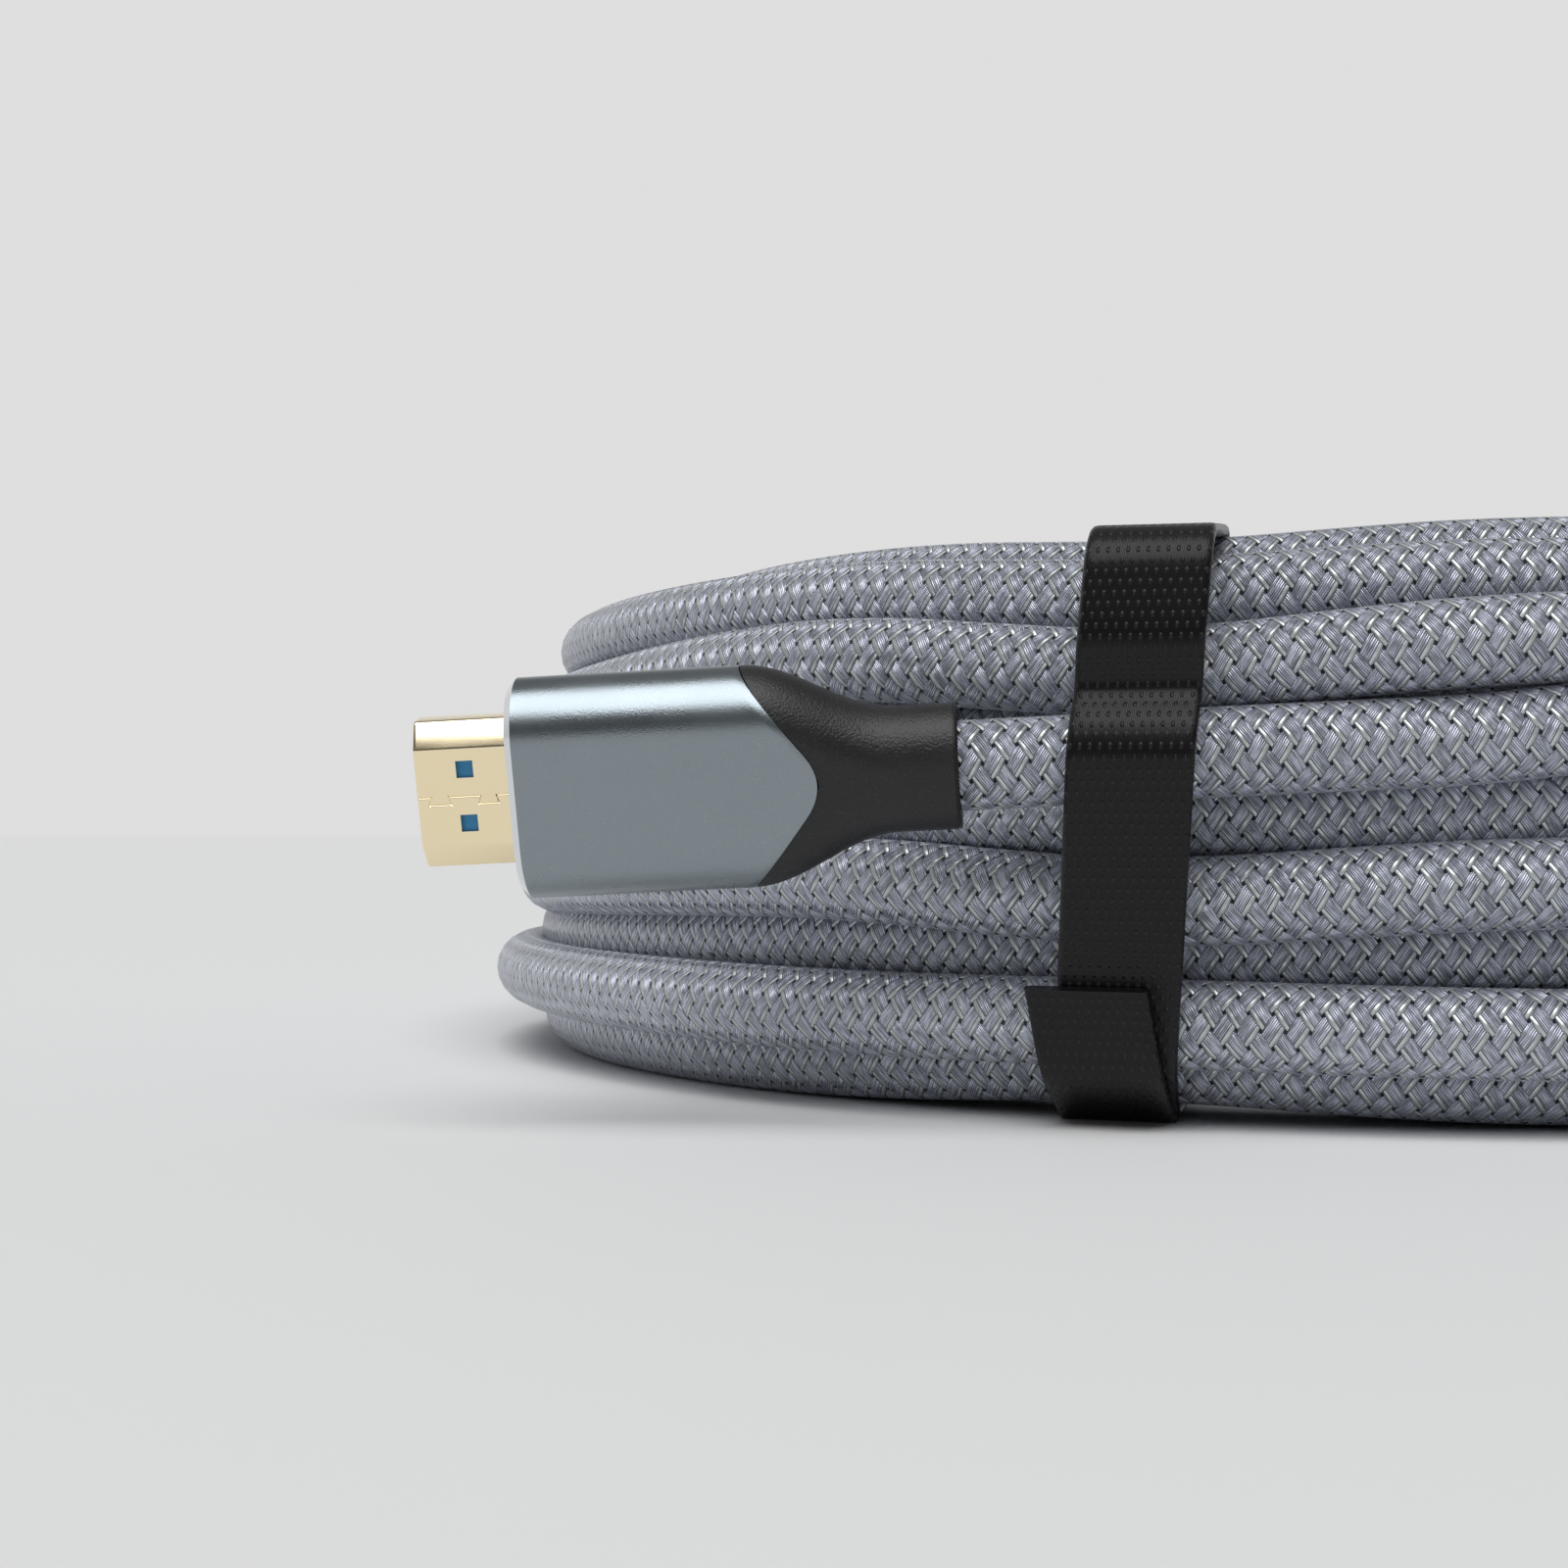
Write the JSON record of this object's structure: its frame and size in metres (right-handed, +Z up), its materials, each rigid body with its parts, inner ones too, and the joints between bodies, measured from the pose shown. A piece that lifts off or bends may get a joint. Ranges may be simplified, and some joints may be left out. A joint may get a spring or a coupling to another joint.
{
  "type": "hdmi cable",
  "caption": "Long braided video cable in a round coil with a strap, and a flat D-shaped plug with a moulded boot on each end.",
  "frame": {"origin": "on the surface that the coil lies on, at the middle of its footprint, which is the coil's axis", "axes": "+Z up along the coil's axis; -Y to the side where the first plug and the strap are; the first plug's tip points to -X"},
  "size_m": [0.22, 0.2209, 0.0575],
  "materials": {
    "braid": "braided grey yarn",
    "strap": "black hook-and-loop tape",
    "gold_plate": "polished gold plating",
    "insulator": "moulded blue plastic",
    "contacts": "gold-plated spring contacts",
    "housing": "fine-blasted blue-grey anodised, bright cut front edge",
    "boot": "fine-grained soft black moulding"
  },
  "bodies": {
    "root": {"cable_coil": "braid", "lead_a": "braid", "lead_b": "braid", "strap": "strap", "plug_a_shell": "gold_plate", "plug_a_insulator": "insulator", "plug_a_contacts_upper": "contacts", "plug_a_contacts_lower": "contacts", "plug_a_housing": "housing", "plug_a_boot": "boot", "plug_b_shell": "gold_plate", "plug_b_insulator": "insulator", "plug_b_contacts_upper": "contacts", "plug_b_contacts_lower": "contacts", "plug_b_housing": "housing", "plug_b_boot": "boot"}
  },
  "joints": []
}
